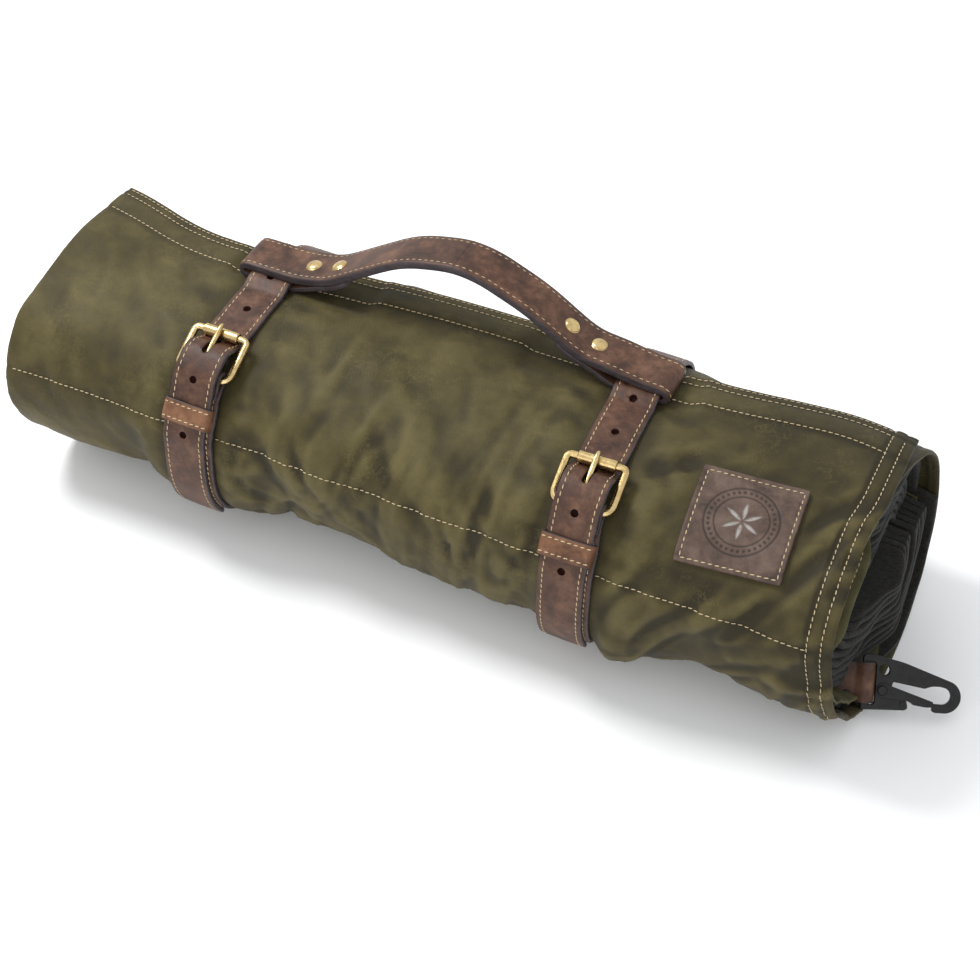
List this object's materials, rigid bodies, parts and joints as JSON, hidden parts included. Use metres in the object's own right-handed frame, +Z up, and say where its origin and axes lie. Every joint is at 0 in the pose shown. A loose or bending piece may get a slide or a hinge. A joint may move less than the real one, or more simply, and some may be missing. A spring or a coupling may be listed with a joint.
{
  "type": "tool roll",
  "caption": "Waxed canvas tool roll, rolled up and held by two buckled leather belts, with an arched leather carry handle and a small snap hook at one end.",
  "frame": {"origin": "middle of the footprint, on the ground that the belts rest on", "axes": "+X along the roll towards the end with the snap hook, -Y to the side with the buckles and the patch, +Z up"},
  "size_m": [0.5333, 0.1744, 0.1648],
  "materials": {
    "canvas": "waxed olive canvas, mottled and slightly shiny on the folds",
    "inner_canvas": "olive canvas, matte",
    "felt": "heathered charcoal wool felt",
    "leather": "oiled brown leather with dark edges and cream stitching",
    "tan_leather": "oiled reddish-brown leather",
    "brass": "polished antique brass",
    "black_steel": "gunmetal black, satin"
  },
  "bodies": {
    "roll": {"outer_canvas": "canvas", "felt_lining": "felt", "pocket_canvas": "inner_canvas", "rolled_felt_core": "felt", "belt_left": "leather", "belt_right": "leather", "handle_loop_left": "leather", "handle_loop_right": "leather", "handle_rivet_1": "brass", "handle_rivet_2": "brass", "handle_rivet_3": "brass", "handle_rivet_4": "brass", "leather_patch": "leather", "hook_tab": "leather", "tab_rivet": "black_steel"},
    "handle": {"handle_grip": "leather"},
    "buckle_left": {"buckle_frame_left": "brass"},
    "prong_left": {"buckle_prong_left": "brass"},
    "roller_left": {"buckle_roller_left": "brass"},
    "loose_keeper_left": {"keeper_left": "tan_leather"},
    "buckle_right": {"buckle_frame_right": "brass"},
    "prong_right": {"buckle_prong_right": "brass"},
    "roller_right": {"buckle_roller_right": "brass"},
    "loose_keeper_right": {"keeper_right": "tan_leather"},
    "snap_hook": {"snap_hook_body": "black_steel", "snap_hook_pivot": "black_steel", "snap_hook_spring": "black_steel", "snap_hook_stop_pin": "black_steel"},
    "hook_gate": {"snap_hook_gate": "black_steel"}
  },
  "joints": [
    {"name": "handle_swing", "type": "hinge", "parent": "roll", "child": "handle", "pos_m": [-0.04, 0.0305, 0.1402], "axis": [1, 0, 0], "range_deg": [-50, 50]},
    {"name": "buckle_left_hinge", "type": "hinge", "parent": "roll", "child": "buckle_left", "pos_m": [-0.1486, -0.06102, 0.11146], "axis": [1, 0, 0], "range_deg": [0, 3]},
    {"name": "prong_left_hinge", "type": "hinge", "parent": "buckle_left", "child": "prong_left", "pos_m": [-0.1486, -0.06102, 0.11146], "axis": [1, 0, 0], "range_deg": [0, 3]},
    {"name": "roller_left_spin", "type": "hinge", "parent": "buckle_left", "child": "roller_left", "pos_m": [-0.1486, -0.03855, 0.12242], "axis": [1, 0, 0], "continuous": true},
    {"name": "keeper_left_slide", "type": "hinge", "parent": "roll", "child": "loose_keeper_left", "pos_m": [-0.1486, -0.0397, 0.06946], "axis": [1, 0, 0], "range_deg": [0, 3.5]},
    {"name": "buckle_right_hinge", "type": "hinge", "parent": "roll", "child": "buckle_right", "pos_m": [0.07007, -0.061, 0.11147], "axis": [0.9991, 0.0388, 0.0189], "range_deg": [0, 3]},
    {"name": "prong_right_hinge", "type": "hinge", "parent": "buckle_right", "child": "prong_right", "pos_m": [0.07007, -0.061, 0.11147], "axis": [0.9991, 0.0388, 0.0189], "range_deg": [0, 3]},
    {"name": "roller_right_spin", "type": "hinge", "parent": "buckle_right", "child": "roller_right", "pos_m": [0.06899, -0.03855, 0.12242], "axis": [0.9991, 0.0388, 0.0189], "continuous": true},
    {"name": "keeper_right_slide", "type": "hinge", "parent": "roll", "child": "loose_keeper_right", "pos_m": [0.07065, -0.0397, 0.06946], "axis": [0.9996, 0.017, 0.0229], "range_deg": [0, 3.5]},
    {"name": "snap_hook_swing", "type": "hinge", "parent": "roll", "child": "snap_hook", "pos_m": [0.219, -0.0283, 0.0183], "axis": [-0.2505, 0.6794, 0.6897], "range_deg": [-60, 10]},
    {"name": "hook_gate_hinge", "type": "hinge", "parent": "snap_hook", "child": "hook_gate", "pos_m": [0.22797, -0.02725, 0.01545], "axis": [0.3028, -0.6217, 0.7224], "range_deg": [0, 12], "stiffness_Nm_per_rad": 0.02, "springref_deg": -20.05}
  ]
}
